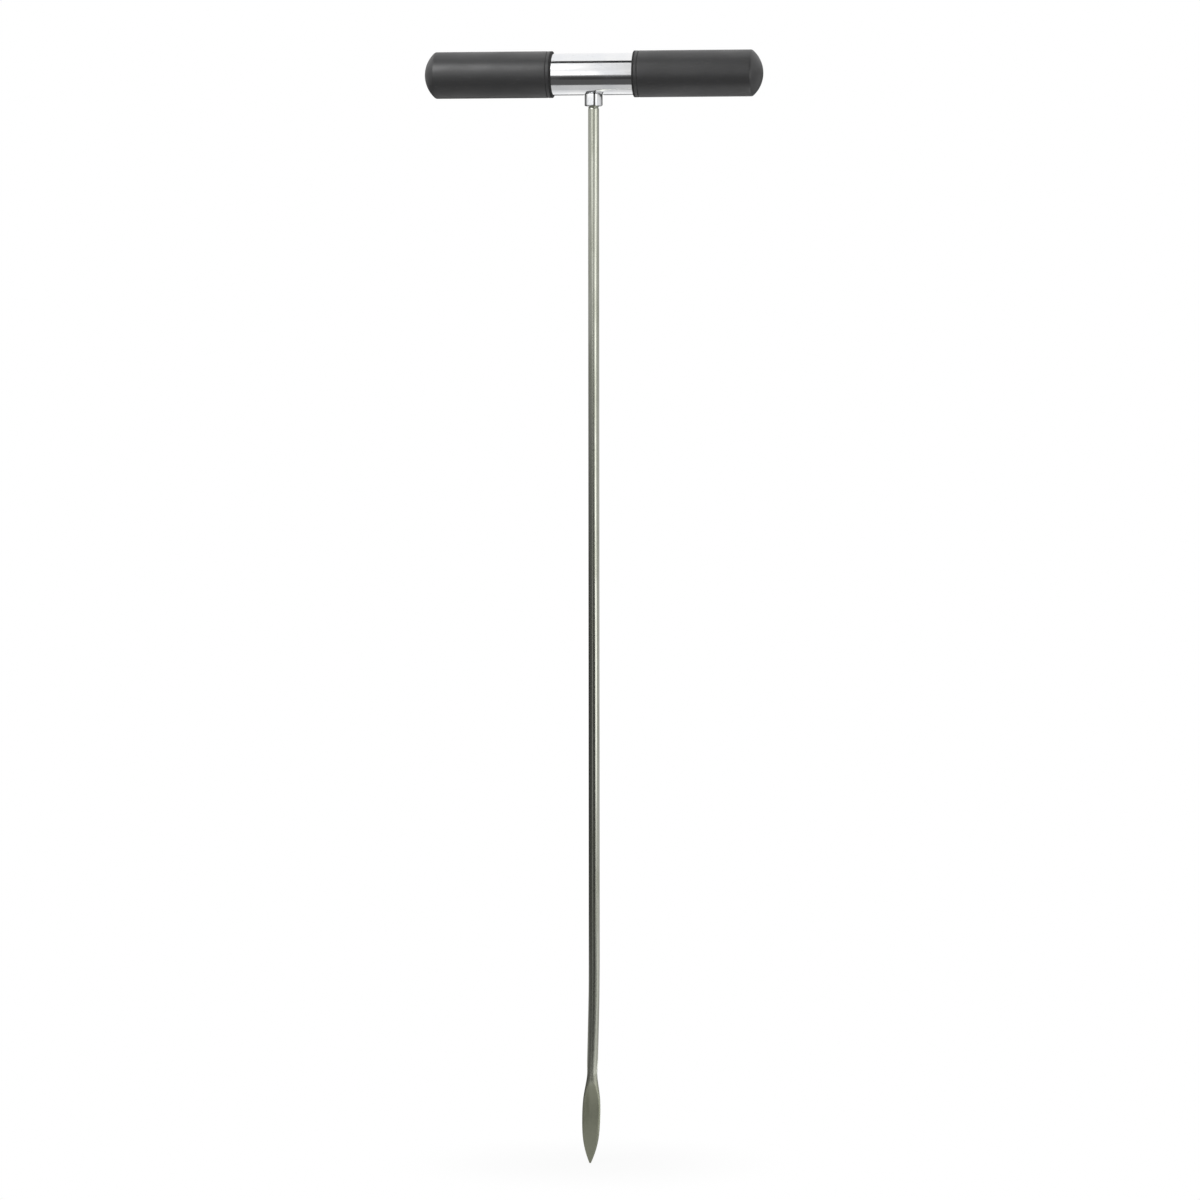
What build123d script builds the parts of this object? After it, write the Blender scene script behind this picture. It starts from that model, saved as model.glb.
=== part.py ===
from build123d import *
import math
import os

# Probing rod: a T handle of plated tube with two soft grips, and a steel rod that is
# screwed into the handle, held by a lock nut and forged into a flat leaf point.
# Millimetres. X runs along the handle, Z is up, the leaf's flat sides face -Y and +Y.
# The point of the leaf stands on Z = 0, under the middle of the handle.

# Rod, measured along the rod from the threaded end to the point
rod_diameter = 10.0
rod_length = 1000.0
rod_end_chamfer = 1.0

# Thread of the rod, shown as a plain cylinder of its outer diameter
thread_diameter = 9.85
thread_spare = 2.0
thread_clearance = 0.06

# The slight set of the rod above its point, leaning to -X
set_angle = 1.4
set_radius = 2000.0
set_height = 135.0

# Leaf point, heights measured up the rod from the point, a slope is the rise for each mm outwards
tip_width = 1.4
tip_thickness = 1.0
tip_slope = 2.3
taper_width = 13.8
taper_height = 20.5
belly_width = 16.6
belly_height = 40.0
shoulder_width = 14.6
shoulder_height = 63.0
neck_width = 9.0
neck_height = 82.0
leaf_root_height = 98.0
leaf_thickness = 4.2
flat_tip_slope = 20.0
flat_top_thickness = 5.3
flat_top_height = 60.0
flat_end_height = 75.5
flat_end_slope = 4.0
edge_ratio = 1.06
edge_fullness = 1.2

# Handle tube
tube_diameter = 38.0
tube_wall = 2.6
bare_tube_length = 74.0
rod_hole_clearance = 0.3

# Flat seat for the nut, milled into the underside of the tube
seat_depth = 1.6
seat_clearance = 0.4

# Tapped core inside the tube
core_length = 36.0
core_clearance = 0.05
rod_end_above_axis = 6.0

# Lock nut
nut_across_flats = 16.0
nut_height = 11.4
nut_face_diameter = 14.8
nut_chamfer_angle = 30.0
nut_countersink = 0.5
nut_seat_gap = 0.1
nut_turn = 13.0

# Soft grips
grip_length = 118.0
grip_wall = 2.2
grip_clearance = 0.02
grip_dome_height = 11.3
grip_knuckle = 3.5
grip_lip_chamfer = 0.7

# Sizes that follow from the ones above
set_turn = math.radians(set_angle)
rod_radius = rod_diameter / 2
neck_reach = edge_ratio * rod_radius
tube_radius = tube_diameter / 2
tube_bore_radius = tube_radius - tube_wall
grip_bore_radius = tube_radius + grip_clearance
grip_radius = grip_bore_radius + grip_wall
grip_crown = (grip_radius - grip_knuckle) ** 2 + grip_dome_height**2 - grip_knuckle**2
grip_crown /= 2 * (grip_dome_height - grip_knuckle)
grip_inner_end = bare_tube_length / 2
grip_dome_start = grip_inner_end + grip_length - grip_dome_height
upper_length = rod_length - set_height - set_radius * set_turn
bend_top_z = set_height * math.cos(set_turn) + set_radius * math.sin(set_turn)
rod_top_z = bend_top_z + upper_length
handle_z = rod_top_z - rod_end_above_axis
seat_z = handle_z - tube_radius + seat_depth
seat_radius = nut_across_flats / math.sqrt(3) + seat_clearance
nut_top_z = seat_z - nut_seat_gap
nut_bottom_z = nut_top_z - nut_height
thread_end_z = nut_bottom_z - thread_spare
tapped_diameter = thread_diameter + 2 * thread_clearance
point_x = -(set_height * math.sin(set_turn) + set_radius * (1 - math.cos(set_turn)))

# Plane of the leaf: its origin is the point, its Z runs up the leaning end of the rod
leaf_plane = Plane(
    origin=(point_x, 0, 0),
    x_dir=(math.cos(set_turn), 0, -math.sin(set_turn)),
    z_dir=(math.sin(set_turn), 0, math.cos(set_turn)),
)
handle_plane = Plane(origin=(0, 0, handle_z), x_dir=(0, 1, 0), z_dir=(1, 0, 0))


def grip_section():
    """Half section of a grip: distance from the handle's axis along X, way out along Y."""
    end = grip_inner_end + grip_length
    bore_end = grip_dome_start + grip_clearance
    lean = math.atan2(grip_radius - grip_knuckle, grip_crown - grip_dome_height)
    meet = (grip_crown * math.sin(lean), end - grip_crown + grip_crown * math.cos(lean))
    outline = Polyline(
        (0, end),
        (0, bore_end),
        (grip_bore_radius, bore_end),
        (grip_bore_radius, grip_inner_end),
        (grip_radius - grip_lip_chamfer, grip_inner_end),
        (grip_radius, grip_inner_end + grip_lip_chamfer),
        (grip_radius, grip_dome_start),
    )
    outline += TangentArc((grip_radius, grip_dome_start), meet, tangent=(0, 1))
    outline += TangentArc(meet, (0, end), tangent=(-math.cos(lean), math.sin(lean)))
    return make_face(outline)


def make_grip(side):
    """Soft closed-end grip on one end of the tube, side is -1 for left and 1 for right."""
    upright = Plane(origin=(0, 0, handle_z), x_dir=(0, 0, 1), z_dir=(0, side, 0))
    return revolve(upright * grip_section(), Axis((0, 0, handle_z), (1, 0, 0)))


def make_handle_tube():
    """Plated cross tube, with the nut's seat and the hole for the rod in its lower wall."""
    ring = Circle(tube_radius) - Circle(tube_bore_radius)
    tube = extrude(handle_plane.offset(-grip_dome_start) * ring, 2 * grip_dome_start)
    hole_radius = thread_diameter / 2 + rod_hole_clearance
    hole = extrude(Circle(hole_radius), tube_diameter)
    seat = extrude(Circle(seat_radius), tube_diameter)
    return tube - Pos(0, 0, handle_z - tube_diameter) * hole - Pos(0, 0, seat_z - tube_diameter) * seat


def make_tapped_core():
    """Round plug inside the tube, drilled across for the rod's thread."""
    radius = tube_bore_radius - core_clearance
    core = extrude(handle_plane.offset(-core_length / 2) * Circle(radius), core_length)
    return core - Pos(0, 0, handle_z) * Cylinder(tapped_diameter / 2, 2 * tube_diameter)


def make_lock_nut():
    """Hexagon nut, corners turned off at both faces, one corner a little to the right of -Y."""
    hexagon = RegularPolygon(nut_across_flats / 2, 6, major_radius=False, rotation=30 + nut_turn)
    blank = extrude(hexagon, nut_height)
    corner_radius = nut_across_flats / math.sqrt(3)
    face_radius = nut_face_diameter / 2
    drop = (corner_radius - face_radius) * math.tan(math.radians(nut_chamfer_angle))
    turned = make_face(
        Polyline(
            (0, 0),
            (face_radius, 0),
            (corner_radius, drop),
            (corner_radius, nut_height - drop),
            (face_radius, nut_height),
            (0, nut_height),
            close=True,
        )
    )
    nut = blank & revolve(Plane.XZ * turned, Axis.Z)
    nut -= Pos(0, 0, nut_height / 2) * Cylinder(tapped_diameter / 2, 2 * nut_height)
    bore_rims = nut.edges().filter_by(GeomType.CIRCLE).sort_by(SortBy.RADIUS)[:2]
    nut = chamfer(bore_rims, nut_countersink)
    return Pos(0, 0, nut_bottom_z) * nut


def make_leaf_plate():
    """Plate with the leaf's front outline, pinched at the neck, as deep as the rod."""
    outline = Spline(
        (tip_width / 2, 0),
        (taper_width / 2, taper_height),
        (belly_width / 2, belly_height),
        (shoulder_width / 2, shoulder_height),
        (neck_width / 2, neck_height),
        (neck_reach, leaf_root_height),
        tangents=[(1, tip_slope), (0, 1)],
    )
    rest = Polyline(
        (neck_reach, leaf_root_height),
        (0, leaf_root_height),
        (0, 0),
        (tip_width / 2, 0),
    )
    half = extrude(Plane.XZ * make_face(outline + rest), rod_diameter, both=True)
    return half + mirror(half, Plane.YZ)


def leaf_oval(width, height):
    """Oval section that the forging leaves, as deep as the rod at the neck."""
    rise = 1 - (1 - height / neck_height) ** edge_fullness
    depth = tip_width + (rod_diameter - tip_width) * rise
    return Pos(0, 0, height) * Ellipse(edge_ratio * width / 2, depth / 2)


def make_leaf():
    """Leaf point: the plate, forged to an oval that grows to the round rod, and ground flat on both sides."""
    ovals = [
        leaf_oval(tip_width, 0),
        leaf_oval(taper_width, taper_height),
        leaf_oval(belly_width, belly_height),
        leaf_oval(shoulder_width, shoulder_height),
        Pos(0, 0, neck_height) * Circle(rod_radius),
    ]
    forged = loft(ovals) + extrude(Pos(0, 0, neck_height) * Circle(rod_radius), leaf_root_height - neck_height)
    squeezed_off = extrude(Circle(2 * belly_width), leaf_root_height) - forged
    flat = Spline(
        (tip_thickness / 2, 0),
        (leaf_thickness / 2, belly_height),
        (flat_top_thickness / 2, flat_top_height),
        (neck_reach, flat_end_height),
        tangents=[(1, flat_tip_slope), (1, flat_end_slope)],
    )
    rest = Polyline(
        (neck_reach, flat_end_height),
        (belly_width, flat_end_height),
        (belly_width, 0),
        (tip_thickness / 2, 0),
    )
    ground_off = extrude(Plane.YZ.offset(-belly_width) * make_face(flat + rest), 2 * belly_width)
    return make_leaf_plate() - squeezed_off - ground_off - mirror(ground_off, Plane.XZ)


def make_shank():
    """Plain rod from the leaf's root, over the set, up to the thread."""
    root = leaf_plane.from_local_coords((0, 0, leaf_root_height))
    bend_foot = leaf_plane.from_local_coords((0, 0, set_height))
    bend_top = Vector(0, 0, bend_top_z)
    path = Line(root, bend_foot)
    path += TangentArc(bend_foot, bend_top, tangent=leaf_plane.z_dir)
    path += Line(bend_top, (0, 0, thread_end_z))
    section = Plane(origin=root, x_dir=leaf_plane.x_dir, z_dir=leaf_plane.z_dir) * Circle(rod_radius)
    return sweep(section, path=path)


def make_threaded_end():
    """Upper end of the rod at the thread's outer diameter, chamfered at the top."""
    end = extrude(Circle(thread_diameter / 2), rod_top_z - thread_end_z)
    end = chamfer(end.edges().group_by(Axis.Z)[-1], rod_end_chamfer)
    return Pos(0, 0, thread_end_z) * end


def make_probe_rod():
    """Threaded end, shank, neck and leaf point, all one piece of steel."""
    return make_threaded_end() + make_shank() + leaf_plane * make_leaf()


if __name__ == "__main__":
    pieces = {
        "handle_tube": make_handle_tube(),
        "tapped_core": make_tapped_core(),
        "lock_nut": make_lock_nut(),
        "probe_rod": make_probe_rod(),
        "left_grip": make_grip(-1),
        "right_grip": make_grip(1),
    }
    os.makedirs("parts", exist_ok=True)
    for name, piece in pieces.items():
        export_step(piece, f"parts/{name}.step")
        print(name, round(piece.volume), "mm3")
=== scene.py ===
# %% [markdown]
# # A probing rod
# A probing rod is pushed into the ground by hand, to feel for a pipe, a stone or soft fill. It is a T: a
# short tube with two soft grips, and a steel rod that screws into the tube, is locked by a nut and ends in
# a leaf point. The CAD model already has every size and every joint. This lesson dresses it: finer shapes
# where a plain solid would show, a finish for each metal and for the grips, a studio, and a camera that
# sees the object as the photograph does.

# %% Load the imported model
import math

import bpy
import numpy as np
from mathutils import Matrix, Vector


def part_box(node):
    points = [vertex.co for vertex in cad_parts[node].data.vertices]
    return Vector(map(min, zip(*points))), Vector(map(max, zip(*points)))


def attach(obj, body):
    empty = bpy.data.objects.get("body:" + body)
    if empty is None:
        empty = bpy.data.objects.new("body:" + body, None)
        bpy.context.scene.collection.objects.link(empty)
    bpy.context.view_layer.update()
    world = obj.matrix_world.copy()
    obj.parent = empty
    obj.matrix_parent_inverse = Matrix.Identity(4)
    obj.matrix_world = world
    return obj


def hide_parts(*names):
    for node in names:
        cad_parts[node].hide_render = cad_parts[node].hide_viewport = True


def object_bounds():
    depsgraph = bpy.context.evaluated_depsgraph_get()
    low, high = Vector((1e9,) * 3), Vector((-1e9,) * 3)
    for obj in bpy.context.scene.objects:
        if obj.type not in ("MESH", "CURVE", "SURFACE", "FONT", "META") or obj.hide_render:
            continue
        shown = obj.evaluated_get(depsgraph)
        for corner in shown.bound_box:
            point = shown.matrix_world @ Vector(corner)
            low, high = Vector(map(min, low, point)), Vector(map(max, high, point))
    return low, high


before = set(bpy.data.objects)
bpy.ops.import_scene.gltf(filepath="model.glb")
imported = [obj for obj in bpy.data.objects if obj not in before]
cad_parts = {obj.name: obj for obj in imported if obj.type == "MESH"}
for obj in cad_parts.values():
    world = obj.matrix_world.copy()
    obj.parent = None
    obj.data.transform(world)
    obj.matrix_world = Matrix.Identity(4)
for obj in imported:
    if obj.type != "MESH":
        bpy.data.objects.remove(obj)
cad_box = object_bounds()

MM = 0.001

# %% [markdown]
# ## A bench for node trees
# Materials and Geometry Nodes are both made of nodes, and a long formula soon takes dozens of them. Placing
# each by hand in the editor works, but nobody can read the result. Here a `Wire` stands for one socket, and
# ordinary Python sums on wires add the Math nodes. Every other node comes from `Bench.add`: its type, its
# settings, then the values or wires of its sockets.

# %% A wire, on which sums add Math nodes
class Wire:
    """One output socket of a node."""

    def __init__(self, bench, socket):
        self.bench = bench
        self.socket = socket

    def out(self, name):
        """Another output of the same node."""
        return Wire(self.bench, self.socket.node.outputs[name])

    def __add__(self, other):
        return self.bench.math("ADD", self, other)

    def __radd__(self, other):
        return self.bench.math("ADD", other, self)

    def __sub__(self, other):
        return self.bench.math("SUBTRACT", self, other)

    def __rsub__(self, other):
        return self.bench.math("SUBTRACT", other, self)

    def __mul__(self, other):
        return self.bench.math("MULTIPLY", self, other)

    def __rmul__(self, other):
        return self.bench.math("MULTIPLY", other, self)

    def __truediv__(self, other):
        return self.bench.math("DIVIDE", self, other)

    def __rtruediv__(self, other):
        return self.bench.math("DIVIDE", other, self)

    def __pow__(self, other):
        return self.bench.math("POWER", self, other)

    def __neg__(self):
        return self.bench.math("MULTIPLY", self, -1.0)

    def __abs__(self):
        return self.bench.math("ABSOLUTE", self)


print("a wire takes + - * / ** and abs")

# %% The bench, where every node is added
class Bench:
    """A node tree being put together."""

    def __init__(self, tree):
        self.tree = tree

    def add(self, kind, settings=None, sockets=None, out=0):
        """Add a node, set it up, fill its sockets, and hand back one of its outputs."""
        node = self.tree.nodes.new(kind)
        for name, value in (settings or {}).items():
            if name == "stops":
                self.set_stops(node.color_ramp.elements, value)
            else:
                setattr(node, name, value)
        for key, value in (sockets or {}).items():
            if isinstance(value, Wire):
                self.tree.links.new(value.socket, node.inputs[key])
            else:
                node.inputs[key].default_value = value
        return Wire(self, node.outputs[out]) if len(node.outputs) else None

    @staticmethod
    def set_stops(elements, stops):
        """Grey levels along a ramp, as pairs of place and level."""
        while len(elements) < len(stops):
            elements.new(1.0)
        for element, (place, level) in zip(elements, stops):
            element.position = place
            element.color = (level, level, level, 1.0)

    def math(self, operation, *values):
        """A Math node, also for what no sign can say, such as a sine."""
        return self.add("ShaderNodeMath", {"operation": operation}, dict(enumerate(values)))

    def split(self, vector):
        """X, Y and Z of a vector."""
        parts = self.add("ShaderNodeSeparateXYZ", {}, {0: vector})
        return [parts.out(axis) for axis in "XYZ"]

    def join(self, x, y, z):
        """A vector from X, Y and Z."""
        return self.add("ShaderNodeCombineXYZ", {}, {"X": x, "Y": y, "Z": z})


print("a bench adds nodes, and splits and joins vectors")

# %% [markdown]
# ## Turning a sheet into a ring
# Grips, nut and rod all go round an axis, each by a rule of its own. A lathe would be the Screw modifier,
# but it can't make six flats or a thread. So every tree starts from the same flat Mesh Grid: one row for
# each point of an outline, one column for each step round the axis. The rule then says where each grid
# point goes, and merging the doubles closes the seam and the poles.

# %% A tree and its grid
def start_tree(name, **sizes):
    """A new tree on a bench, and a wire to its named inputs, each of the kind that sizes gives."""
    tree = bpy.data.node_groups.new(name, "GeometryNodeTree")
    tree.interface.new_socket("Outline", in_out="INPUT", socket_type="NodeSocketGeometry")
    for size, kind in sizes.items():
        title = size.replace("_", " ").title()
        tree.interface.new_socket(title, in_out="INPUT", socket_type=f"NodeSocket{kind}")
    tree.interface.new_socket("Finish", in_out="INPUT", socket_type="NodeSocketMaterial")
    tree.interface.new_socket("Piece", in_out="OUTPUT", socket_type="NodeSocketGeometry")
    bench = Bench(tree)
    return bench, bench.add("NodeGroupInput")


def ring_grid(bench, given):
    """A grid with a row for each outline point, its row number, and the turn of its column."""
    outline = given.out("Outline")
    steps = given.out("Steps Round")
    rows = bench.add("GeometryNodeAttributeDomainSize", {"component": "MESH"}, {"Geometry": outline})
    grid = bench.add("GeometryNodeMeshGrid", {}, {"Vertices X": steps + 1, "Vertices Y": rows})
    number = bench.add("GeometryNodeInputIndex")
    column = bench.math("FLOOR", (number + 0.5) / rows)
    return grid, number - column * rows, column * math.tau / steps


print("a tree starts with an outline, named sizes, a finish and a flat grid")

# %% Reading the outline, and closing a tree
seam_gap = 0.002 * MM


def of_row(bench, given, row, column=None):
    """What the outline says for a row: its position, or one of its named columns."""
    kind = "FLOAT" if column else "FLOAT_VECTOR"
    if column:
        value = bench.add("GeometryNodeInputNamedAttribute", {"data_type": kind}, {"Name": column})
    else:
        value = bench.add("GeometryNodeInputPosition")
    sockets = {"Geometry": given.out("Outline"), "Value": value, "Index": row}
    return bench.add("GeometryNodeSampleIndex", {"data_type": kind, "domain": "POINT"}, sockets)


def close_tree(bench, given, grid, place):
    """Move the grid to its place, merge seam and poles, smooth it and give it its finish."""
    moved = bench.add("GeometryNodeSetPosition", {}, {"Geometry": grid, "Position": place})
    sockets = {"Geometry": moved, "Distance": seam_gap}
    closed = bench.add("GeometryNodeMergeByDistance", {}, sockets)
    smooth = bench.add("GeometryNodeSetShadeSmooth", {}, {"Geometry": closed})
    real = bench.add("GeometryNodeRealizeInstances", {}, {"Geometry": smooth})
    sockets = {"Geometry": real, "Material": given.out("Finish")}
    dressed = bench.add("GeometryNodeSetMaterial", {}, sockets)
    bench.add("NodeGroupOutput", {}, {"Piece": dressed})
    return bench.tree


print("a tree ends by merging points within", seam_gap / MM, "mm")

# %% [markdown]
# ## From a tree to a piece
# A tree is only a recipe. A small mesh holds the outline, and a Geometry Nodes modifier runs the tree on it
# once its named inputs are set. The result is kept as a plain mesh and the modifier is taken off, because
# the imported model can't run it. The piece then rides on a body of the CAD model and stands for the solid
# that it replaces.

# %% One maker for all pieces
def make_piece(name, tree, points, body, slot, node, columns=None, **sizes):
    """Run a tree on an outline, keep the plain mesh, and let it stand for its CAD node."""
    outline = bpy.data.meshes.new(name)
    outline.from_pydata([tuple(float(c) for c in point) for point in points], [], [])
    for column, numbers in (columns or {}).items():
        values = outline.attributes.new(column, "FLOAT", "POINT").data
        values.foreach_set("value", np.float32(numbers))
    piece = bpy.data.objects.new(name, outline)
    bpy.context.scene.collection.objects.link(piece)
    shaper = piece.modifiers.new("shape", "NODES")
    shaper.node_group = tree
    for item in tree.interface.items_tree:
        size = item.name.lower().replace(" ", "_")
        if item.in_out == "INPUT" and size in sizes:
            shaper[item.identifier] = sizes[size]
    depsgraph = bpy.context.evaluated_depsgraph_get()
    mesh = bpy.data.meshes.new_from_object(piece.evaluated_get(depsgraph), depsgraph=depsgraph)
    piece.modifiers.remove(shaper)
    piece.data = mesh
    mesh.name = name
    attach(piece, body)
    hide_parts(node)
    print(name, len(mesh.vertices), "points", len(mesh.polygons), "faces on", body)


# %% [markdown]
# ## Corners that catch the light
# No made thing has a perfectly sharp corner, and a thin bright line along an edge is what makes a render
# look real. The Bevel modifier can do it, but on a turned outline it is simpler to round the corner in the
# outline itself.

# %% Outline with rounded corners
nearly_straight = math.pi / 2 - 0.01


def rounded(corners, arc_steps=5):
    """Points along an outline of (along, out, radius) corners, each corner with its own rounding."""
    spots = [np.array(corner[:2], float) for corner in corners]
    points = [spots[0]]
    for before, here, after, corner in zip(spots, spots[1:], spots[2:], corners[1:]):
        back = (before - here) / np.linalg.norm(before - here)
        ahead = (after - here) / np.linalg.norm(after - here)
        radius = corner[2]
        half = math.acos(float(np.clip(back @ ahead, -1, 1))) / 2
        if radius == 0 or half > nearly_straight:
            points.append(here)
            continue
        reach = radius / math.tan(half)
        middle = here + (back + ahead) / np.linalg.norm(back + ahead) * radius / math.sin(half)
        first, last = here + back * reach - middle, here + ahead * reach - middle
        sweep = math.pi - 2 * half
        for step in range(arc_steps + 1):
            share = step / arc_steps
            spoke = first * math.sin((1 - share) * sweep) + last * math.sin(share * sweep)
            points.append(middle + spoke / math.sin(sweep))
    points.append(spots[-1])
    return points


print("a square corner of 1 mm:", len(rounded([(0, 0, 0), (10, 0, 1), (10, 10, 0)])), "points")

# %% [markdown]
# ## Starting a finish
# A finish is a material: random marks, soft steps and colour mixes that end in one shader. Pictures wrapped
# round a piece would do it too, but they need a mapping and show their pixels close up. Marks worked out
# from Object coordinates stay sharp at any distance and move with the piece.

# %% A bench with soft steps, mixes and random marks
class FinishBench(Bench):
    """A material or a world being put together."""

    def fade(self, value, start, end):
        """0 before start, 1 after end, and smooth between them."""
        settings = {"interpolation_type": "SMOOTHSTEP"}
        sockets = {"Value": value, "From Min": start, "From Max": end}
        return self.add("ShaderNodeMapRange", settings, sockets)

    def band(self, value, start, full, fall, end):
        """1 from full to fall, and smooth down to 0 at start and end."""
        return self.fade(value, start, full) * (1 - self.fade(value, fall, end))

    def mix(self, share, first, second):
        """A colour between two colours."""
        sockets = {"Factor": share, 6: first, 7: second}
        return self.add("ShaderNodeMix", {"data_type": "RGBA"}, sockets, out=2)

    def noise(self, place, to_the_metre, detail):
        """Random marks, so many to the metre along X, Y and Z."""
        sockets = {0: place, 1: to_the_metre}
        spot = self.add("ShaderNodeVectorMath", {"operation": "MULTIPLY"}, sockets)
        return self.add("ShaderNodeTexNoise", {}, {"Vector": spot, "Scale": 1.0, "Detail": detail})

    def patches(self, place, to_the_metre, detail, start, end):
        """Random marks, none below start and full above end."""
        return self.fade(self.noise(place, to_the_metre, detail), start, end)

    def bump(self, height, strength, depth):
        """A bent normal, as if the surface had dents of that depth."""
        sockets = {"Height": height, "Strength": strength, "Distance": depth}
        return self.add("ShaderNodeBump", {}, sockets)


print("a finish can fade, mix, be patchy and have bumps")

# %% First and last nodes of a finish
def start_finish(name):
    """A new empty material, its bench, and Object coordinates."""
    material = bpy.data.materials.new(name)
    material.use_nodes = True
    material.node_tree.nodes.clear()
    bench = FinishBench(material.node_tree)
    return material, bench, bench.add("ShaderNodeTexCoord", out="Object")


def close_finish(bench, **sockets):
    """The shader with its sockets, such as Base_Color, and the material's output."""
    named = {socket.replace("_", " "): value for socket, value in sockets.items()}
    shader = bench.add("ShaderNodeBsdfPrincipled", {}, named)
    bench.add("ShaderNodeOutputMaterial", {}, {"Surface": shader})


print("a finish starts from Object coordinates and ends in one shader")

# %% [markdown]
# ## Finish of the soft grips
# The grips are dipped or moulded in soft black vinyl: nearly black, matt, with a fine skin and the faint
# greasy patches that hands leave. The patches change the roughness more than the colour, since that is what
# shows when the light slides along the grip. The skin itself is only a bump, far too fine to model. On the
# lip at the mouth and in the groove behind it, shade is painted: there the colour is blacker and duller.

# %% Matt black vinyl
bloomed_black, handled_black = (0.024, 0.024, 0.025, 1), (0.032, 0.032, 0.033, 1)
# The last colour on the next line is painted shade for the lip at the mouth and the groove behind it; the
# two lines after it say where that painted shade lies, in mm from the mouth.
lint_grey, mouth_shade_black = (0.085, 0.084, 0.082, 1), (0.003, 0.003, 0.003, 1)
mouth_shade_fade = 1.5 * MM, 2.4 * MM
groove_shade_band = 4.0 * MM, 4.6 * MM, 5.0 * MM, 5.6 * MM
grip_low, grip_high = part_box("right_grip")

soft_black, bench, place = start_finish("soft_black_vinyl")
handled = bench.patches(place, (28, 60, 60), detail=3.0, start=0.35, end=0.68)
lint = bench.patches(place, (240, 900, 900), detail=2.0, start=0.62, end=0.78)
skin = bench.noise(place, (2600, 2600, 2600), detail=2.0)
from_mouth = abs(bench.split(place)[0]) - grip_low.x
# Painted shade: the lip at the mouth and the groove behind it get a blacker colour and more roughness.
lip = 1 - bench.fade(from_mouth, *mouth_shade_fade)
mouth_shade = bench.math("MAXIMUM", lip, 0.7 * bench.band(from_mouth, *groove_shade_band))
black = bench.mix(handled, bloomed_black, handled_black)
black = bench.mix(0.35 * lint, black, lint_grey)
close_finish(
    bench,
    Base_Color=bench.mix(0.9 * mouth_shade, black, mouth_shade_black),
    Roughness=0.46 - 0.08 * handled + 0.12 * lint + 0.4 * mouth_shade,
    Normal=bench.bump(skin + 0.6 * handled, strength=0.22, depth=0.06 * MM),
    Specular_IOR_Level=0.75,
)
print("made", soft_black.name)

# %% [markdown]
# ## The soft grips
# Each grip is a blind sleeve: a thin lip at the open end, a rim band set off by a shallow groove, a long
# straight hand part, and a rounded closed end. Cylinders and a dome could be joined, but a turned outline
# has no joins to hide. One outline serves both, mirrored for the left hand. The rule of its tree is the
# plainest one, a full turn about the handle's axis.

# %% Tree of a turned grip
def build_grip_tree():
    """Every outline point goes round the handle's axis."""
    bench, given = start_tree("turned_grip", steps_round="Int", handle_height="Float")
    grid, row, turn = ring_grid(bench, given)
    along, out, _ = bench.split(of_row(bench, given, row))
    across = out * bench.math("COSINE", turn)
    up = out * bench.math("SINE", turn) + given.out("Handle Height")
    return close_tree(bench, given, grid, bench.join(along, across, up))


grip_tree = build_grip_tree()
print(grip_tree.name, len(grip_tree.nodes), "nodes")

# %% Closed end of a grip, in mm from the middle of the handle and from its axis
just_inside = 0.01
grip_start, grip_end = grip_low.x / MM, grip_high.x / MM - just_inside
grip_radius, knuckle, crown_height = 21.22 - just_inside, 3.5, 11.3
knuckle_steps, crown_steps = 14, 26


def closed_end(hand_end):
    """Round the knuckle, then along the flatter crown to the axis."""
    crown = (grip_radius - knuckle) ** 2 + crown_height**2 - knuckle**2
    crown /= 2 * (crown_height - knuckle)
    lean = math.atan2(grip_radius - knuckle, crown - crown_height)
    points = []
    for turn in np.linspace(0, math.pi / 2 - lean, knuckle_steps)[1:]:
        spoke = knuckle * np.array((math.sin(turn), math.cos(turn)))
        points.append(np.array((hand_end, grip_radius - knuckle)) + spoke)
    for turn in np.linspace(lean, 0, crown_steps)[1:]:
        points.append(np.array((grip_end - crown + crown * math.cos(turn), crown * math.sin(turn))))
    return points


print("grip from", round(grip_start, 2), "to", round(grip_end, 2), "mm")

# %% Outline of a grip, in mm
grip_bore, bore_end = 19.02, 143.72
rim_width, groove_width, groove_depth = 4.1, 1.3, 0.4
hand_clear, hand_steps = 3.0, 30


def grip_outline():
    """From the bottom of the bore, out of the mouth, over the lip and along to the closed end."""
    groove = grip_start + rim_width
    hand_start, hand_end = groove + groove_width, grip_end - crown_height
    # Along, out and rounding
    corners = [
        (bore_end, 0, 0),
        (bore_end, grip_bore, 0.5),
        (grip_start, grip_bore, 0.35),
        (grip_start, grip_radius, 0.9),
        (groove, grip_radius, 0.5),
        (groove + groove_width / 2, grip_radius - groove_depth, 0.4),
        (hand_start, grip_radius, 0.6),
        (hand_end, grip_radius, 0),
    ]
    hand = np.linspace(hand_start + hand_clear, hand_end, hand_steps)
    return rounded(corners)[:-1] + [np.array((x, grip_radius)) for x in hand] + closed_end(hand_end)


grip_points = grip_outline()
print(len(grip_points), "points in the outline of a grip")

# %% Both grips
handle_height = (grip_low.z + grip_high.z) / 2
right_outline = [(x * MM, out * MM, 0) for x, out in grip_points]
left_outline = [(-x, out, 0) for x, out, _ in reversed(right_outline)]
for name, points, node in (
    ("right_soft_grip", right_outline, "right_grip"),
    ("left_soft_grip", left_outline, "left_grip"),
):
    make_piece(
        name, grip_tree, points, "handle", "soft_black", node,
        steps_round=160, handle_height=handle_height, finish=soft_black,
    )

# %% [markdown]
# ## Finish of the zinc-plated pieces
# Tube and nut are bright zinc plate over drawn steel. Zinc is a cool, slightly blue white metal, polished
# enough to show the studio as bands, with cloudy patches where the bath left it thicker and hair-fine
# scratches along the tube. The nut has rings from turning instead, and spanners have rubbed its corners
# down to dark steel. Two materials made one by one would soon differ, so one recipe serves both, with the
# marks running another way.

# %% Bright zinc
clear_zinc, cloudy_zinc = (0.9, 0.902, 0.905, 1), (0.84, 0.852, 0.872, 1)
pit_grey, bare_steel = (0.42, 0.43, 0.45, 1), (0.12, 0.118, 0.113, 1)


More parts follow.
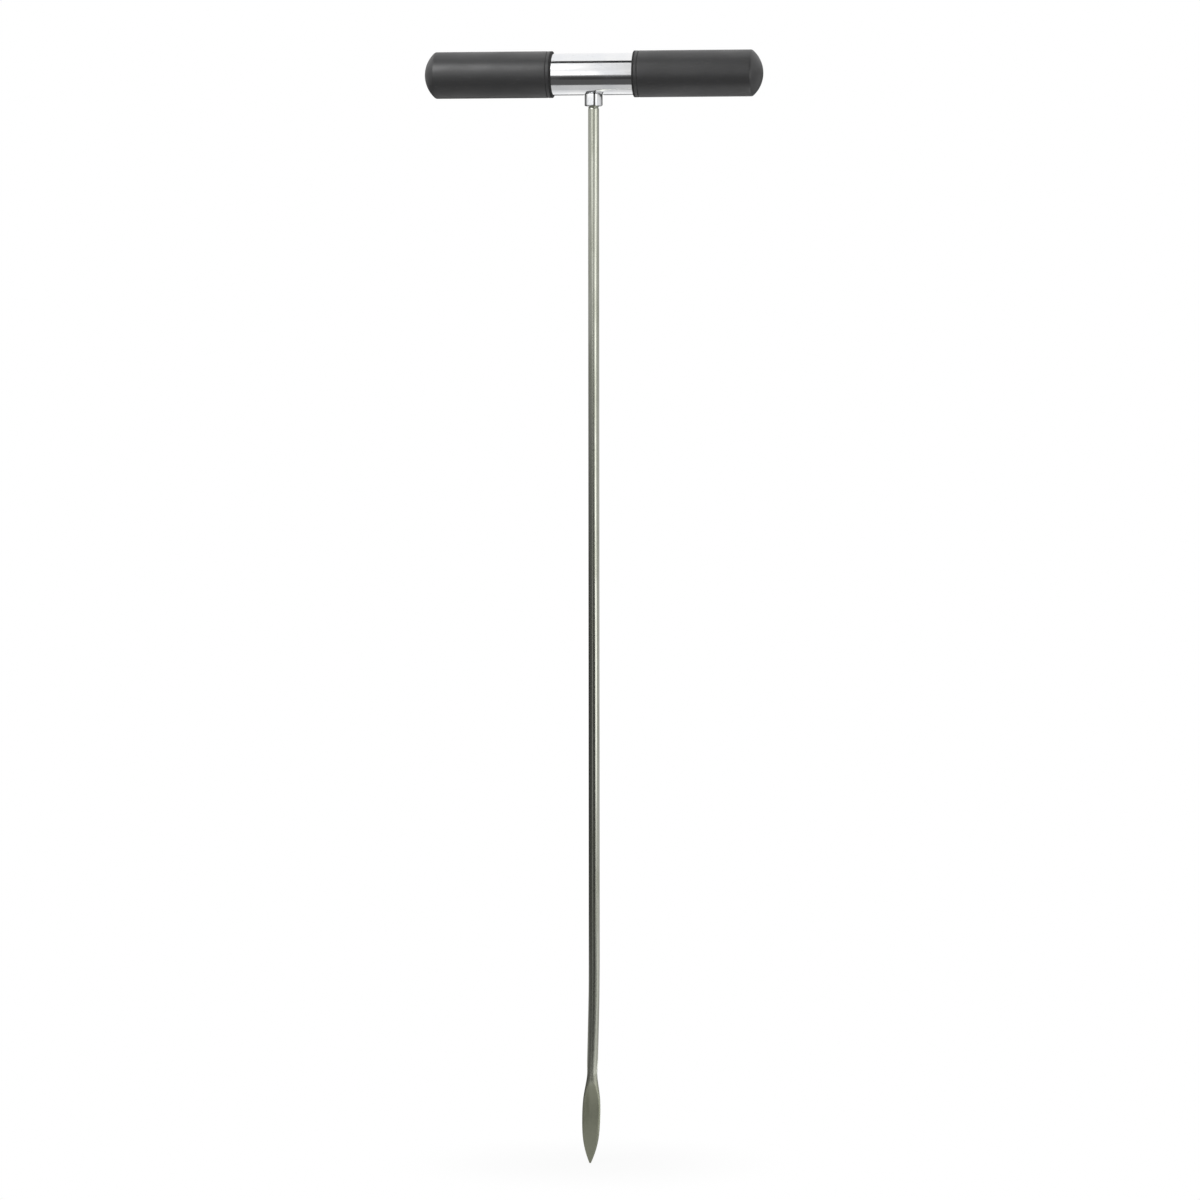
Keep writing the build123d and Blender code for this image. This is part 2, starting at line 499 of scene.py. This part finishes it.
def zinc_finish(name, marks_to_the_metre, smooth, rough, wear=None):
    """Bright zinc with fine marks, and worn through where wear says so."""
    material, bench, place = start_finish(name)
    cloud = bench.patches(place, (45, 60, 60), detail=4.0, start=0.35, end=0.7)
    pits = bench.patches(place, (700, 700, 700), detail=1.0, start=0.7, end=0.8)
    marks = bench.noise(place, marks_to_the_metre, detail=3.0)
    colour = bench.mix(cloud, clear_zinc, cloudy_zinc)
    colour = bench.mix(0.5 * pits, colour, pit_grey)
    roughness = smooth + (rough - smooth) * cloud + 0.08 * bench.fade(marks, 0.6, 0.72) + 0.1 * pits
    if wear:
        rubbed = wear(bench, place)
        colour = bench.mix(rubbed, colour, bare_steel)
        roughness = roughness + 0.25 * rubbed
    normal = bench.bump(marks, strength=0.1, depth=0.02 * MM)
    close_finish(bench, Base_Color=colour, Roughness=roughness, Normal=normal, Metallic=1.0)
    return material


print("zinc from", clear_zinc[:3], "to", cloudy_zinc[:3])

# %% Zinc on the tube
def dress_solid(node, finish):
    """A CAD solid that stays as it is gets its finish."""
    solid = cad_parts[node]
    solid.data.materials.clear()
    solid.data.materials.append(finish)
    print(finish.name, "on", solid.name)


tube_zinc = zinc_finish("bright_zinc_tube", (40, 2500, 2500), smooth=0.07, rough=0.15)
dress_solid("handle_tube", tube_zinc)

# %% Zinc of the nut, worn at its corners
nut_corner_angle = math.radians(-77)
worn_degrees, sound_degrees, ragged_degrees = 3.0, 9.0, 3.0


def spanner_wear(bench, place):
    """1 along the nut's six corners, 0 on its flats, with a ragged edge between."""
    x, y, _ = bench.split(place)
    turn = bench.math("ARCTAN2", y, x) - nut_corner_angle
    sixth = bench.math("FRACT", turn / math.radians(60) + 6.5)
    from_corner = abs(sixth - 0.5) * 60
    ragged = ragged_degrees * (bench.noise(place, (900, 900, 700), detail=2.0) - 0.5)
    return 1 - bench.fade(from_corner + ragged, worn_degrees, sound_degrees)


nut_zinc = zinc_finish(
    "bright_zinc_nut", (300, 300, 5000), smooth=0.1, rough=0.2, wear=spanner_wear
)
print("made", nut_zinc.name)

# %% [markdown]
# ## The tapped core
# Inside the tube sits a turned steel plug with a cross thread, which nobody sees once the handle is
# together. Its CAD solid is right as it is, so it only gets the look of plain turned steel: rings round the
# handle's axis.

# %% Turned steel
dry_steel, oily_steel = (0.46, 0.45, 0.43, 1), (0.33, 0.32, 0.3, 1)
turned_steel, bench, place = start_finish("turned_core_steel")
rings = bench.noise(place, (6000, 40, 40), detail=2.0)
oil = bench.patches(place, (90, 90, 90), detail=3.0, start=0.4, end=0.7)
close_finish(
    bench,
    Base_Color=bench.mix(oil, dry_steel, oily_steel),
    Roughness=0.34 + 0.14 * rings - 0.1 * oil,
    Normal=bench.bump(rings, strength=0.3, depth=0.03 * MM),
    Metallic=1.0,
)
dress_solid("tapped_core", turned_steel)

# %% [markdown]
# ## The lock nut
# A nut is a six-sided bar whose corners are turned off at both faces, which leaves the curved edge that
# everyone knows. A boolean of a hexagon and a cone makes hard edges that then need bevels. Here the tree
# takes the smaller of two radii, the hexagon's and the turned outline's, with a power mean that rounds the
# meeting edge a little.

# %% Tree of a turned hexagon
def build_nut_tree():
    """Every outline point goes round the rod's axis, but no farther out than the flats."""
    bench, given = start_tree(
        "turned_hexagon", steps_round="Int", across_flats="Float", corner_angle="Float",
        corner_crispness="Float", edge_crispness="Float",
    )
    grid, row, turn = ring_grid(bench, given)
    turned, _, height = bench.split(of_row(bench, given, row))
    corner, edge = given.out("Corner Crispness"), given.out("Edge Crispness")
    from_corner = turn - given.out("Corner Angle")
    flats = [bench.math("COSINE", from_corner - math.radians(angle)) for angle in (30, 90, 150)]
    first, second, third = (abs(flat) ** corner for flat in flats)
    hexagon = given.out("Across Flats") / 2 / (first + second + third) ** (1 / corner)
    out = hexagon / (1 + (hexagon / turned) ** edge) ** (1 / edge)
    x, y = out * bench.math("COSINE", turn), out * bench.math("SINE", turn)
    return close_tree(bench, given, grid, bench.join(x, y, height))


nut_tree = build_nut_tree()
print(nut_tree.name, len(nut_tree.nodes), "nodes")

# %% Outline of the nut, in mm
nut_low, nut_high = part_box("lock_nut")
nut_bottom, nut_top = nut_low.z / MM, nut_high.z / MM
nut_across_flats, nut_face, nut_bore, nut_countersink = 16.0, 7.4, 4.985, 0.5
nut_chamfer, past_corners = math.radians(30), 0.3
cone_steps, side_steps = 16, 8


def nut_outline():
    """Out along the lower face, up the turned side, in along the upper face and down the bore."""
    side = nut_across_flats / math.sqrt(3) + past_corners
    drop = (side - nut_face) * math.tan(nut_chamfer)
    # Height, out and rounding
    corners = [
        (nut_bottom + nut_countersink, nut_bore, 0),
        (nut_bottom, nut_bore + nut_countersink, 0.12),
        (nut_bottom, nut_face, 0.15),
        (nut_bottom + drop, side, 0),
    ]
    *face, cone_start, cone_end = rounded(corners, arc_steps=4)
    shares = np.linspace(0, 1, cone_steps)
    lower = face + [cone_start + (cone_end - cone_start) * share for share in shares]
    upper = [np.array((nut_bottom + nut_top - z, out)) for z, out in reversed(lower)]
    heights = np.linspace(nut_bottom + drop, nut_top - drop, side_steps)[1:-1]
    return lower + [np.array((z, side)) for z in heights] + upper + [lower[0]]


nut_points = [(out * MM, 0, z * MM) for z, out in nut_outline()]
print(len(nut_points), "points in the outline, nut", round(nut_top - nut_bottom, 2), "mm high")

# %% The lock nut
make_piece(
    "turned_lock_nut", nut_tree, nut_points, "nut", "zinc_nut", "lock_nut",
    steps_round=288, across_flats=nut_across_flats * MM, corner_angle=nut_corner_angle,
    corner_crispness=14.0, edge_crispness=70.0, finish=nut_zinc,
)

# %% [markdown]
# ## Finish of the rod
# The rod is drawn bar: bright, a little warm, with fine lines along its length that drawing leaves. Towards
# the point the forging fire and the grinding stone have taken the shine: the leaf is a dull olive grey with
# short grinding marks across it. Two materials would meet in a hard line, but rod and leaf are one piece
# of steel. So one material changes from one look to the other with the height on the rod.

# %% Drawn and forged steel
bright_steel, stained_steel = (0.65, 0.663, 0.578, 1), (0.512, 0.525, 0.436, 1)
leaf_steel, stained_leaf = (0.343, 0.353, 0.273, 1), (0.263, 0.272, 0.202, 1)
leaf_top, change = 79 * MM, 12 * MM

rod_steel, bench, place = start_finish("drawn_and_forged_steel")
wander = change * (bench.noise(place, (300, 300, 120), detail=2.0) - 0.5)
forged = 1 - bench.fade(bench.split(place)[2] + wander, leaf_top - change, leaf_top + change)
drawn = bench.noise(place, (2600, 2600, 9), detail=3.0)
ground = bench.noise(place, (260, 260, 3600), detail=3.0)
stain = bench.patches(place, (150, 150, 22), detail=4.0, start=0.42, end=0.72)
bright = bench.mix(stain, bright_steel, stained_steel)
dull = bench.mix(stain, leaf_steel, stained_leaf)
close_finish(
    bench,
    Base_Color=bench.mix(forged, bright, dull),
    Roughness=0.15 + 0.07 * stain + 0.05 * drawn + forged * (0.18 + 0.1 * ground),
    Normal=bench.bump(drawn + (ground - drawn) * forged, strength=0.14, depth=0.04 * MM),
    Metallic=1.0,
)
print("made", rod_steel.name)

# %% [markdown]
# ## The rod
# The rod is one bar with four regions: thread, plain shank, a neck and the leaf, and it has taken a slight
# set near the point. Sculpting or a subdivision cage could make the leaf, but a smith's rule is clearer: at
# each height the section is an oval, cut to the leaf's front outline at its sides and ground flat at its
# front and back. The outline carries those sizes as named columns, one row for each height, and the tree
# works out the section.

# %% A bent batten
def batten(heights, sizes, start_slope, end_slope):
    """A smooth line through the sizes at the given heights, like a strip of wood bent round pins."""
    heights, sizes = np.array(heights, float), np.array(sizes, float)
    gap, rise = np.diff(heights), np.diff(sizes)
    count = len(heights)
    stiff, pull = np.eye(count), np.zeros(count)
    pull[0], pull[-1] = start_slope, end_slope
    for pin in range(1, count - 1):
        before, after = 1 / gap[pin - 1], 1 / gap[pin]
        stiff[pin, pin - 1 : pin + 2] = before, 2 * (before + after), after
        pull[pin] = 3 * (rise[pin - 1] * before**2 + rise[pin] * after**2)
    slopes = np.linalg.solve(stiff, pull)

    def size_at(height):
        pin = np.clip(np.searchsorted(heights, height) - 1, 0, count - 2)
        share = np.clip((height - heights[pin]) / gap[pin], 0, 1)
        back = 1 - share
        ends = sizes[pin] * back**2 * (1 + 2 * share) + sizes[pin + 1] * share**2 * (1 + 2 * back)
        bend = gap[pin] * share * back * (slopes[pin] * back - slopes[pin + 1] * share)
        return ends + bend

    return size_at


hump = batten((0, 1, 2), (0, 1, 0), 0, 0)
print("a batten over one pin of 1 stands", round(float(hump(0.5)), 3), "high half way there")

# %% Outlines of the leaf, in mm up from the point and out from the axis
tip_half, tip_flat, neck_half, rod_radius = 0.7, 0.5, 4.5, 5.0
flat_end, neck_height, root_height = 75.5, 82.0, 98.0
oval_ratio, tip_slope, neck_slope = 1.06, 1 / 2.3, -0.13
flat_tip_slope, flat_end_slope = 1 / 20, 1 / 4
neck_reach = oval_ratio * rod_radius
leaf_heights, leaf_halves = (0, 20.5, 40, 63), (tip_half, 6.9, 8.3, 7.3)
oval_halves = tuple(oval_ratio * half for half in leaf_halves)
flat_heights = (0, 20.5, 40, 50, 60, 66, 70, flat_end)
flat_halves = (tip_flat, 1.543, 2.1, 2.136, 2.65, 3.413, 4.102, neck_reach)

half_width_at = batten(
    (*leaf_heights, neck_height, root_height), (*leaf_halves, neck_half, neck_reach), tip_slope, 0
)
oval_wide_at = batten(
    (*leaf_heights, neck_height), (*oval_halves, rod_radius), oval_ratio * tip_slope, neck_slope
)
flat_half_at = batten(flat_heights, flat_halves, flat_tip_slope, flat_end_slope)
widths = [round(2 * float(half_width_at(height)), 2) for height in (10, 40, 70, 82)]
print("leaf width at 10, 40, 70 and 82 mm:", widths)

# %% Heights of the rows, in mm up the rod
rod_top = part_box("probe_rod")[1].z / MM
set_turn, set_radius, set_height = math.radians(1.4), 2000.0, 135.0
bend_length = set_radius * set_turn
bend_top = set_height * math.cos(set_turn) + set_radius * math.sin(set_turn)
rod_length = set_height + bend_length + rod_top - bend_top
thread_spare, end_chamfer = 2.0, 1.0
thread_start = rod_length - (rod_top - nut_bottom) - thread_spare


def rod_rows():
    """Distances from the point, close together where the section changes."""
    tip = np.concatenate([[0, 0, 0.15, 0.4, 0.7], np.arange(1.1, 6, 0.45)])
    leaf = np.arange(6, 100, 0.8)
    shank = np.concatenate([np.arange(101, 190, 4), np.arange(195, thread_start - 20, 30)])
    step = thread_start - np.array([12, 4, 1.5, 0.8, 0.5, 0.35, 0.25])
    thread = np.arange(thread_start, rod_length - end_chamfer, 0.1)
    top = np.linspace(rod_length - end_chamfer, rod_length, 8)
    return np.concatenate([tip, leaf, shank, step, thread, top, [rod_length]])


rows = rod_rows()
print(len(rows), "rows, thread from", round(thread_start, 2), "to", round(rod_length, 2), "mm")

# %% Where the rod's axis runs
lean = set_turn * (1 - np.clip((rows - set_height) / bend_length, 0, 1))
below = np.minimum(rows, set_height)
above = np.maximum(rows - set_height - bend_length, 0)
point_x = -(set_height * math.sin(set_turn) + set_radius * (1 - math.cos(set_turn)))
centre_x = point_x + below * math.sin(set_turn) + set_radius * (np.cos(lean) - math.cos(set_turn))
centre_z = below * math.cos(set_turn) + set_radius * (math.sin(set_turn) - np.sin(lean)) + above
rod_points = [(x * MM, 0, z * MM) for x, z in zip(centre_x, centre_z)]
print("the point stands", round(-point_x, 2), "mm left of the handle's middle")

# %% What the section measures in each row
thread_radius, thread_pitch, thread_depth, thread_step = 4.925, 1.5, 0.92, 0.3
uncut = 1000.0  # so far out that the cut takes nothing off
round_from, edge_fullness = flat_end + 0.5, 1.2
threaded, forged_rows = rows > thread_start - thread_step, rows < neck_height

round_radius = np.where(threaded, thread_radius, rod_radius)
round_radius = np.minimum(round_radius, thread_radius + rod_length - end_chamfer - rows)
to_round = 1 - (1 - np.clip(rows / round_from, 0, 1)) ** edge_fullness
oval_deep = np.where(forged_rows, tip_half + (rod_radius - tip_half) * to_round, round_radius)
oval_wide = np.where(forged_rows, oval_wide_at(rows), round_radius)
half_width = np.where(rows < root_height, half_width_at(rows), uncut)
flat_half = np.where(rows < flat_end, flat_half_at(rows), uncut)
print("belly", round(2 * half_width[rows < root_height].max(), 2), "mm wide")

# %% Columns of the outline
tip_rounding, least_slim, bunching_power = 0.8, 0.3, 0.6
closing = np.ones(len(rows))
closing[[0, -1]] = 0
closing[1] = tip_rounding
slimness = np.minimum(oval_deep, flat_half) / half_width
bunching = np.clip(slimness, least_slim, 1) ** bunching_power
rod_columns = {
    "half_width": half_width * MM,
    "oval_wide": oval_wide * MM,
    "oval_deep": oval_deep * MM,
    "flat_half": flat_half * MM,
    "closing": closing,
    "lean": lean,
    "bunching": np.where(forged_rows, bunching, 1.0),
    "crest": np.where(threaded, thread_radius, uncut) * MM,
    "groove": np.clip((rows - thread_start) / thread_pitch, 0, 1),
}
print("columns:", ", ".join(rod_columns))

# %% Tree of the forged rod
thread_root, thread_flank = 0.2, 0.675


def build_rod_tree():
    """Every row becomes a section round the leaning axis, and the upper rows get a thread."""
    bench, given = start_tree(
        "forged_rod", steps_round="Int", edge_crispness="Float", thread_pitch="Float",
        thread_depth="Float",
    )
    grid, row, turn = ring_grid(bench, given)
    centre_x, _, centre_z = bench.split(of_row(bench, given, row))
    size = {column: of_row(bench, given, row, column) for column in rod_columns}
    wide, deep = bench.math("COSINE", turn), size["bunching"] * bench.math("SINE", turn)
    reach = bench.math("SQRT", wide * wide + deep * deep)
    wide, deep = wide / reach, deep / reach
    crisp, depth = given.out("Edge Crispness"), size["oval_deep"]
    oval = bench.math("SQRT", (wide * depth / size["oval_wide"]) ** 2 + deep**2)
    flat = abs(deep) * depth / size["flat_half"]
    side = abs(wide) * depth / size["half_width"]
    section = size["closing"] * depth / (oval**crisp + flat**crisp + side**crisp) ** (1 / crisp)
    phase = bench.math("FRACT", centre_z / given.out("Thread Pitch") - turn / math.tau)
    ridge = bench.math("MAXIMUM", (abs(2 * phase - 1) - thread_root) / thread_flank, 0.0)
    valley = 1 - bench.math("MINIMUM", ridge, 1.0)
    thread = size["crest"] - size["groove"] * given.out("Thread Depth") * valley
    out = bench.math("MINIMUM", section, thread)
    x = centre_x + out * wide * bench.math("COSINE", size["lean"])
    z = centre_z - out * wide * bench.math("SINE", size["lean"])
    return close_tree(bench, given, grid, bench.join(x, out * deep, z))


rod_tree = build_rod_tree()
print(rod_tree.name, len(rod_tree.nodes), "nodes")

# %% The rod
make_piece(
    "forged_rod", rod_tree, rod_points, "rod", "rod_steel", "probe_rod", columns=rod_columns,
    steps_round=112, edge_crispness=36.0, thread_pitch=thread_pitch * MM,
    thread_depth=thread_depth * MM, finish=rod_steel,
)

# %% [markdown]
# ## The studio: floor and world
# The photograph is a cut-out product shot: white all round, with hardly a shadow. The floor is a large pale
# sheet. Paper lit until it is pure white would throw too much light back at the object. So camera rays and
# mirror rays see floor and world as white, while the light that falls on the object stays at a plain level,
# and a grey still renders as the grey it is. Near the point the floor keeps some of its own shading, and
# with it the contact shadow.

# %% Things of the studio
def stage_mesh(name, points, faces, material):
    """A plain mesh with one material, for the studio."""
    mesh = bpy.data.meshes.new(name)
    mesh.from_pydata(points, [], faces)
    mesh.materials.append(material)
    thing = bpy.data.objects.new(name, mesh)
    bpy.context.scene.collection.objects.link(thing)
    return thing


def sheet_corners(left, right, near, far, near_height, far_height):
    """Corners of a flat sheet, which may slope up from its near edge to its far edge."""
    near_edge = [(left, near, near_height), (right, near, near_height)]
    return near_edge + [(right, far, far_height), (left, far, far_height)]


def white_rays(bench):
    """1 for rays from the camera, mirrors and glass, 0 for the light that falls on things."""
    ray = bench.add("ShaderNodeLightPath")
    straight = bench.math("MAXIMUM", ray.out("Is Camera Ray"), ray.out("Is Glossy Ray"))
    return bench.math("MAXIMUM", straight, ray.out("Is Transmission Ray"))


one_face = [(0, 1, 2, 3)]

# %% Floor
white, paper_grey = (1, 1, 1, 1), (0.86, 0.86, 0.86, 1)
floor_half, floor_gap = 30.0, 0.2 * MM
floor_height = min(0.0, cad_box[0].z) - floor_gap
shadow_white, shadow_fade = 0.9, (0.03, 0.2)

paper, bench, place = start_finish("floor_paper")
from_point = bench.add("ShaderNodeVectorMath", {"operation": "LENGTH"}, {0: place}, out="Value")
whiteness = shadow_white + (1 - shadow_white) * bench.fade(from_point, *shadow_fade)
shown = bench.add("ShaderNodeEmission", {}, {"Color": white, "Strength": 1.0})
matt = bench.add("ShaderNodeBsdfDiffuse", {}, {"Color": paper_grey})
sockets = {0: white_rays(bench) * whiteness, 1: matt, 2: shown}
both = bench.add("ShaderNodeMixShader", {}, sockets)
bench.add("ShaderNodeOutputMaterial", {}, {"Surface": both})
floor_corners = sheet_corners(
    left=-floor_half, right=floor_half, near=-floor_half, far=floor_half,
    near_height=floor_height, far_height=floor_height,
)
stage_mesh("studio_floor", floor_corners, one_face, paper)
print("floor at", round(floor_height / MM, 3), "mm")

# %% World
sky_level = 0.55
world = bpy.data.worlds.new("studio_world")
bpy.context.scene.world = world
world.use_nodes = True
world.node_tree.nodes.clear()
bench = FinishBench(world.node_tree)
strength = sky_level + (1 - sky_level) * white_rays(bench)
sky = bench.add("ShaderNodeBackground", {}, {"Color": white, "Strength": strength})
bench.add("ShaderNodeOutputWorld", {}, {"Surface": sky})
print("sky level", sky_level)

# %% [markdown]
# ## The studio: what the metal sees
# Polished metal has no look of its own, it shows the room. The tube in the photograph carries a white band,
# a dark band and a grey foot, and the rod a bright line with dark beside it, so the room had a large soft
# light in front, a dark floor before the table, and darker walls low down. A picture of a room wrapped
# round the world would be endlessly far away and look the same from every height. So those are cards here, a
# curved wall and four sheets, each painted by a formula. Only mirror rays can see them: they cast no shadow,
# give no light, and are hidden from the camera. A level of 1 is white, places are in metres from the foot of
# the object, and turns in degrees.

# %% Hanging a card
def hang_card(name, points, faces, paint):
    """A glowing card for mirror rays, whose level over its surface comes from paint."""
    material, bench, place = start_finish(name)
    level = paint(bench, *bench.split(place))
    tone = bench.add("ShaderNodeCombineColor", {}, {0: level, 1: level, 2: level})
    glow = bench.add("ShaderNodeEmission", {}, {"Color": tone, "Strength": 1.0})
    bench.add("ShaderNodeOutputMaterial", {}, {"Surface": glow})
    card = stage_mesh("studio_" + name, points, faces, material)
    card.visible_camera = False
    card.visible_diffuse = False
    card.visible_shadow = False
    card.visible_transmission = False
    card.visible_volume_scatter = False
    print("hung", card.name)


def lay(below, level, cover):
    """A level laid over what is below it, as far as cover reaches."""
    return below + (level - below) * cover


print("cards show only in mirrors")

# %% Parts of the wall, by height and by degrees to the right of its front
def right_side(bench, turn, z):
    """A grey glow that grows towards the right, a little stronger at the foot."""
    glow = 0.32 * bench.fade(turn, 18, 50) + 0.15 * bench.fade(turn, 50, 76)
    glow = glow * (1.3 - 0.3 * bench.fade(z, 0.08, 0.18))
    return glow + 0.17 * bench.fade(turn, 108, 128) * bench.fade(z, 0.05, 0.15)


def tall_strip(bench, turn, z):
    """Where the strip light stands that draws the bright line on the rod, its foot a little aside."""
    aside = turn - 12 * (1 - bench.fade(z, 0.42, 0.52))
    return bench.band(aside, 22, 29, 56, 64) * bench.band(z, 0.14, 0.27, 0.84, 0.95)


def back_of_wall(bench, wall, turn, z, by_handle):
    """Dark behind the object, with one pale door in the middle."""
    under_top = 1 - bench.fade(z, 1.12, 1.25)
    wall = lay(wall, 0.12 + 0.25 * by_handle, bench.fade(-turn, 130, 150) * under_top)
    wall = lay(wall, 0.24, bench.fade(turn, 130, 150) * under_top)
    return lay(wall, 0.9, bench.fade(abs(turn), 172, 176) * bench.fade(z, 0.05, 0.3))


print("the wall has a right side, a strip light and a back")

# %% The wall
wall_radius, wall_height, wall_steps = 1.6, 1.3, 96
wall_levels = [
    (0.0, 0.04), (0.24, 0.045), (0.35, 0.05), (0.44, 0.11), (0.53, 0.2),
    (0.585, 0.32), (0.69, 0.54), (0.75, 0.66), (0.81, 1.0), (1.0, 1.05),
]


def paint_wall(bench, x, y, z):
    """Dark low down and white above the handle, with lights at the height of the nut."""
    turn = bench.math("ARCTAN2", x, -y) * (180 / math.pi)
    levels = bench.add("ShaderNodeValToRGB", {"stops": wall_levels}, {"Fac": z / wall_height})
    wall = bench.add("ShaderNodeSeparateColor", {}, {0: levels})
    dim_door = bench.band(turn, -66, -58, -54, -46) * (1 - bench.fade(z, 0.55, 0.75))
    wall = lay(wall, 0.12, dim_door)
    pale_door = bench.band(turn, -36, -28, -18, -10) * (1 - bench.fade(z, 0.45, 0.65))
    wall = lay(wall, 0.3, pale_door)
    wall = bench.math("MAXIMUM", wall, right_side(bench, turn, z))
    by_handle = bench.fade(z, 0.86, 0.98)
    wall = lay(wall, 0.5, by_handle)
    left_light, right_light = bench.band(turn, -49, -43, -24, -14), bench.band(turn, 34, 46, 74, 79)
    wall = lay(wall, 1.15, left_light * by_handle)
    wall = lay(wall, 1.6, right_light * by_handle)
    narrow_light = bench.band(turn, -18, -14, -8.5, -5) * bench.fade(z, 0.75, 0.8)
    wall = lay(wall, 1.35, narrow_light)
    wall = lay(wall, 1.6, tall_strip(bench, turn, z))
    return back_of_wall(bench, wall, turn, z, by_handle)


wall_points, wall_faces = [], []
for step in range(wall_steps):
    x, y = math.sin(math.tau * step / wall_steps), -math.cos(math.tau * step / wall_steps)
    wall_points += [(wall_radius * x, wall_radius * y, z) for z in (0.0, wall_height)]
    here, after = 2 * step, 2 * ((step + 1) % wall_steps)
    wall_faces.append((here, here + 1, after + 1, after))
hang_card("wall_card", wall_points, wall_faces, paint_wall)

# %% The table
def paint_table(bench, x, y, z):
    """Grey, with a pale sheet on the right, dark before it, and behind it a pale strip for the tube."""
    table = 0.8 - 0.23 * bench.fade(-y, -0.35, -0.05)
    table = table + 0.4 * bench.band(x, 0.08, 0.25, 0.32, 0.46)
    sheet = bench.band(x, 0.1, 0.15, 0.26, 0.34)
    table = table + 1.3 * sheet * bench.fade(y, -0.32, -0.22)
    shade = bench.fade(y, -0.02, 0.1) * bench.fade(x, -0.11, -0.03) * (1 - sheet)
    table = table - (0.45 - 0.2 * bench.fade(x, 0.1, 0.3)) * shade
    table = table + 0.3 * bench.fade(x, 0.95, 1.2) - 0.4 * bench.fade(-x, 0.2, 0.32)
    table = lay(table, 0.085, bench.fade(-y, 0.43, 0.53))
    strip = 1 - bench.fade(abs(x + 0.1 + 0.094 * y), 0.07, 0.12)
    return lay(table, 0.35 + 0.65 * strip, bench.fade(y, 0.5, 0.6))


table_corners = sheet_corners(
    left=-1.6, right=1.6, near=-1.6, far=1.4, near_height=0.0, far_height=0.0
)
hang_card("table_card", table_corners, one_face, paint_table)

# %% The lights and the beam over the table
def paint_front_box(bench, x, y, z):
    """White on the left, falling off to a dim white on the right."""
    return 1.25 - 0.55 * bench.fade(x, -0.27, -0.13) - 0.58 * bench.fade(x, -0.145, -0.04)


def paint_near_lamp(bench, x, y, z):
    """Brightest in the middle of its height, soft towards its right edge."""
    return 1.0 + 4.9 * bench.band(z, 1.16, 1.24, 1.34, 1.42) * (1 - bench.fade(x, -0.2, -0.07))


def paint_beam(bench, x, y, z):
    """Nearly black, a trace lighter to the right."""
    return 0.03 + 0.02 * bench.fade(x, -1.0, 1.0)


box_corners = sheet_corners(
    left=-2.2, right=2.2, near=-1.6, far=-0.8, near_height=1.3, far_height=2.35
)
lamp_corners = sheet_corners(
    left=-0.6, right=-0.07, near=-0.47, far=-0.37, near_height=1.14, far_height=1.43
)
beam_corners = sheet_corners(
    left=-2, right=2, near=-0.85, far=-0.38, near_height=2.5, far_height=2.5
)
hang_card("front_box_card", box_corners, one_face, paint_front_box)
hang_card("near_lamp_card", lamp_corners, one_face, paint_near_lamp)
hang_card("beam_card", beam_corners, one_face, paint_beam)

# %% [markdown]
# ## The studio: lamps
# Two large soft lamps stand for the studio's soft boxes: one in front to the left, one above. Small lamps
# would draw hard shadows. These only give diffuse light, since what they would show in the metal is already
# on the cards.

# %% Lamps
def soft_lamp(name, place, aim, size, power):
    """A square area lamp that points from its place at an aim point."""
    light = bpy.data.lights.new(name, "AREA")
    light.size = size
    light.energy = power
    lamp = bpy.data.objects.new(name, light)
    bpy.context.scene.collection.objects.link(lamp)
    lamp.location = place
    towards = np.array(aim, float) - np.array(place, float)
    pitch = math.acos(-towards[2] / np.linalg.norm(towards))
    lamp.rotation_euler = (pitch, 0, math.atan2(towards[1], towards[0]) - math.pi / 2)
    lamp.visible_glossy = False
    print(name, power, "W")


soft_lamp("front_soft_box", place=(-1.3, -2.0, 1.7), aim=(0, 0, 0.7), size=1.6, power=16)
soft_lamp("top_soft_box", place=(0.3, -0.2, 2.8), aim=(0, 0, 0.6), size=1.8, power=14)

# %% [markdown]
# ## The camera
# The camera stands five metres off with a long lens, a little to the right of the object's front and a
# little above its middle. From so far the handle is almost straight on, and near and far parts keep nearly
# the same scale. A camera close by would need a wider lens and make the nearer grip look larger. Place and
# turn were found by laying renders over the photograph until point, nut and handle fell together.

# %% Camera
camera_distance, camera_height = 5.0, 0.70585
stand_turn, look_turn = math.radians(7.782), math.radians(7.717)
look_down, tilt = math.radians(2.176), math.radians(0.042)
camera = bpy.data.objects.new("photo_camera", bpy.data.cameras.new("photo_camera"))
camera.data.sensor_width = 36.0
camera.data.lens = 164.595
camera_x, camera_y = camera_distance * math.sin(stand_turn), -camera_distance * math.cos(stand_turn)
camera.location = (camera_x, camera_y, camera_height)
camera.rotation_euler = (math.pi / 2 - look_down, tilt, look_turn)
bpy.context.scene.collection.objects.link(camera)
bpy.context.scene.camera = camera
bpy.context.scene.view_settings.view_transform = "Standard"
print("camera at", [round(c, 3) for c in camera.location], "lens", round(camera.data.lens, 1), "mm")

# %% [markdown]
# ## Sizes
# Dressing must not change the object's size. The CAD model's box, as imported, is printed here.

# %% The CAD model's box
print("CAD box", [[round(v, 5) for v in c] for c in cad_box])
